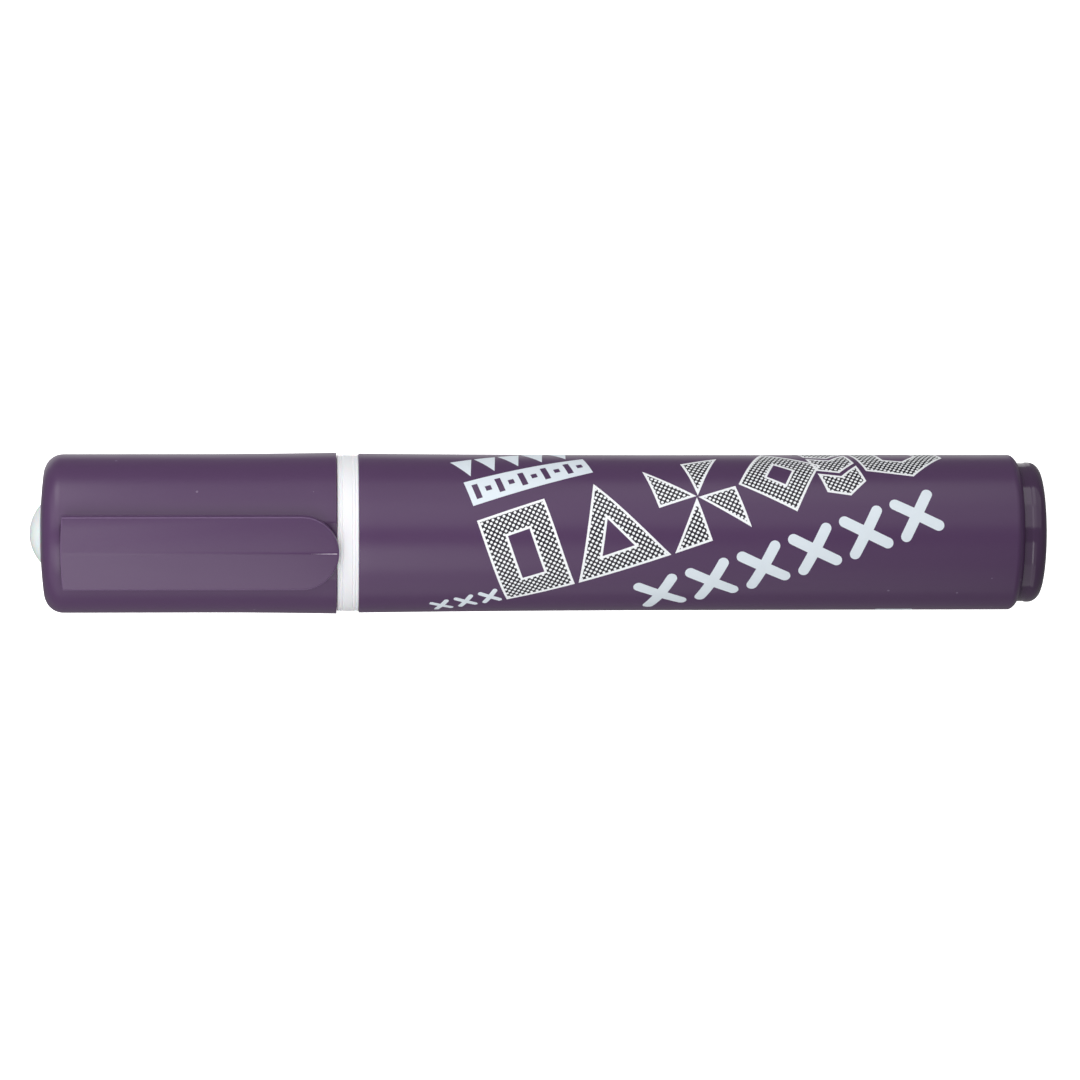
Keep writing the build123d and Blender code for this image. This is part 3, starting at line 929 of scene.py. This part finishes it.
def screen_ink(name, dark, light, roughness):
    """Screen-printed ink, cured on the barrel: a thin opaque film with faint marks of its mesh."""
    material, shader, place = start_material(name, IOR=1.48, Roughness=roughness)
    lay = add_node(material, "ShaderNodeTexNoise", {"Vector": place, "Scale": 1 / 0.0012, "Detail": 3.0})
    ink = add_node(material, "ShaderNodeMix", {0: lay.outputs["Fac"], 6: linear(dark), 7: linear(light)},
                   data_type="RGBA")
    link(material, ink.outputs[2], shader, "Base Color")
    mesh = add_node(material, "ShaderNodeTexNoise", {"Vector": place, "Scale": 1 / 0.00012, "Detail": 1.0})
    surface = add_node(material, "ShaderNodeBump",
                       {"Height": mesh.outputs["Fac"], "Distance": 0.000002, "Strength": 1.0})
    link(material, surface.outputs[0], shader, "Normal")
    return material


def tabletop():
    """Matt white laminate under the pen, lit from below like a light table, so that it holds no shadow."""
    material, shader, place = start_material("matt_white_laminate", Roughness=0.9, Emission_Strength=1.0)
    shader.inputs["Emission Color"].default_value = linear("#FFFFFF")
    shader.inputs["Specular IOR Level"].default_value = 0.0
    grain = add_node(material, "ShaderNodeTexNoise", {"Vector": place, "Scale": 1 / 0.02, "Detail": 2.0})
    tint = add_node(material, "ShaderNodeMix",
                    {0: grain.outputs["Fac"], 6: linear("#FAFAFA"), 7: linear("#FEFEFE")},
                    data_type="RGBA")
    link(material, tint.outputs[2], shader, "Base Color")
    return material


def finish_piece(piece, material, body, node=None):
    """Gives a piece its material and the body it moves with, and hides the CAD node it stands for."""
    piece.data.materials.clear()
    piece.data.materials.append(material)
    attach(piece, body)
    if node:
        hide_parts(node)


def paint_node(name, material):
    """A CAD node that is shown keeps its mesh and gets the better material."""
    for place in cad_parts[name].material_slots:
        place.material = material


satin_purple = satin_polypropylene()
gloss_purple = glossy_polypropylene()
white_plastic = white_polypropylene()
liner_plastic = natural_polyethylene()
felt = soaked_felt()
white_ink = screen_ink("screen_print_ink_white", "#F2F5F8", "#FAFCFE", 0.42)
pale_ink = screen_ink("screen_print_ink_pale_blue", "#DFE9F1", "#E6EFF6", 0.42)
dark_ink = screen_ink("screen_print_ink_black", "#17101C", "#20172A", 0.40)

finish_piece(barrel_tube, satin_purple, "barrel", "barrel")
finish_piece(end_plug, gloss_purple, "barrel", "tail_plug")
finish_piece(nib_section, white_plastic, "barrel", "nib_holder")
finish_piece(felt_nib, felt, "barrel", "nib")
finish_piece(cap_body, satin_purple, "cap", "cap_shell")
finish_piece(cap_liner, liner_plastic, "cap_liner", "inner_cap")
clip_edge = span("clip")[1]
# The clip's material paints a highlight along the edges of its top, paler where the roundings catch the
# light
edge_highlit_purple = satin_polypropylene("moulded_polypropylene_purple_painted_edge_highlight",
                                    (clip_edge.z - 0.19, clip_edge.z - 0.015, CLIP_FALL / clip_edge.y))
finish_piece(pocket_clip, edge_highlit_purple, "clip", "clip")
# The sliver's pale colour is a painted highlight of the parting line
finish_piece(clip_flash, painted_highlight_polypropylene(), "clip")
finish_piece(print_outlines, white_ink, "barrel")
finish_piece(print_dots, white_ink, "barrel")
finish_piece(print_ground, dark_ink, "barrel")
finish_piece(print_stitches, pale_ink, "barrel")
finish_piece(print_tag_piece, pale_ink, "barrel")
finish_piece(print_back_label, pale_ink, "barrel")
paint_node("ink_reservoir", reservoir_fibre())
paint_node("reservoir_wrap", wrap_film())


# ---------------------------------------------------------------- table, light and camera

VIEW_TURN = radians(2.88)      # the camera looks a little from the tail end
TARGET_X = -38.10
DISTANCE = 596.0
TENT_RADIUS = 1.6             # in metres
WORLD = 0.23                  # brightness of the room
SOFTBOX_DISTANCE = 190.0      # in millimetres from the pen
SOFTBOX_SPANS = ((-420, -200), (-200, -115), (-115, -30), (-30, 55), (55, 260))
SOFTBOXES = {"upper_near": (1.45, 1.6, 1.45, 0.85, 0.5), "upper_far": (0.8, 3.4, 0.80, 1.3, 0.6),
             "upper_below": (0, 0.55, 0.55, 0.55, 0),
             "lower_near": (1.8, 2.7, 1.95, 0.34, 0), "lower_far": (0.5, 0.72, 0.72, 0.57, 0)}
to_viewer = Vector((0, sin(VIEW_ROLL), cos(VIEW_ROLL)))
picture_up = Vector((0, cos(VIEW_ROLL), -sin(VIEW_ROLL)))


def lay_table():
    """A white table under a white tent, which only the camera sees: the softboxes light the pen."""
    nothing_selected()
    under = cad_box[0].z - 0.00002
    bpy.ops.mesh.primitive_uv_sphere_add(segments=96, ring_count=48, radius=TENT_RADIUS,
                                         location=(TARGET_X * MM, 0, under))
    table = settle(bpy.context.object, "table")
    edit(table)
    bpy.ops.mesh.select_all(action="SELECT")
    bpy.ops.mesh.bisect(plane_co=(0, 0, under), plane_no=(0, 0, 1), clear_inner=True, use_fill=True)
    bpy.ops.object.mode_set(mode="OBJECT")
    table.data.materials.append(tabletop())
    table.visible_diffuse = False
    table.visible_glossy = False
    table.visible_shadow = False


def add_softbox(name, x_span, start, end, radiance):
    """A flat light face along the pen, from one angle off the viewer's line to another."""
    edges = [(to_viewer * cos(radians(angle)) + picture_up * sin(radians(angle))) * SOFTBOX_DISTANCE
             for angle in (start, end)]
    across = edges[1] - edges[0]
    middle = (edges[0] + edges[1]) / 2
    away = middle.normalized()
    middle.x = sum(x_span) / 2
    light = bpy.data.lights.new(name, "AREA")
    light.shape = "RECTANGLE"
    light.size = (x_span[1] - x_span[0]) * MM
    light.size_y = across.length * MM
    light.energy = radiance * pi * light.size * light.size_y
    holder = bpy.data.objects.new(name, light)
    bpy.context.scene.collection.objects.link(holder)
    side = Vector((1, 0, 0))
    turn = Matrix((side, away.cross(side), away)).transposed()
    holder.matrix_world = Matrix.Translation(middle * MM) @ turn.to_4x4()
    holder.visible_camera = False


def light_studio():
    """Rows of softboxes above and below the viewer, each uneven along the pen, in a dim white room."""
    world = bpy.data.worlds.new("studio")
    world.use_nodes = True
    bpy.context.scene.world = world
    background = world.node_tree.nodes["Background"]
    background.inputs["Color"].default_value = linear("#FFFFFF")
    background.inputs["Strength"].default_value = WORLD
    bpy.context.scene.view_settings.view_transform = "Standard"
    faces = {"upper_near": (7.8, 45), "upper_far": (45, 78), "upper_below": (138, 172),
             "lower_near": (-17, -55), "lower_far": (-55, -100)}
    for name, (start, end) in faces.items():
        for place, x_span in enumerate(SOFTBOX_SPANS):
            radiance = SOFTBOXES[name][place]
            if radiance > 0:
                add_softbox(f"softbox_{name}_{place}", x_span, start, end, radiance)


def set_camera():
    roll = radians(0.088)
    along = Vector((1, 0, 0))
    right = along * cos(VIEW_TURN) + to_viewer * sin(VIEW_TURN)
    back = to_viewer * cos(VIEW_TURN) - along * sin(VIEW_TURN)
    rolled_right = right * cos(roll) - picture_up * sin(roll)
    rolled_up = picture_up * cos(roll) + right * sin(roll)
    target = Vector((TARGET_X, 0, 0)) - picture_up * 0.90
    data = bpy.data.cameras.new("camera")
    data.lens = 158.9
    data.sensor_width = 36.0
    data.clip_start = 0.01
    camera = bpy.data.objects.new("camera", data)
    bpy.context.scene.collection.objects.link(camera)
    turn = Matrix((rolled_right, rolled_up, back)).transposed()
    camera.matrix_world = Matrix.Translation((target + back * DISTANCE) * MM) @ turn.to_4x4()
    bpy.context.scene.camera = camera


lay_table()
light_studio()
set_camera()

bpy.context.view_layer.update()
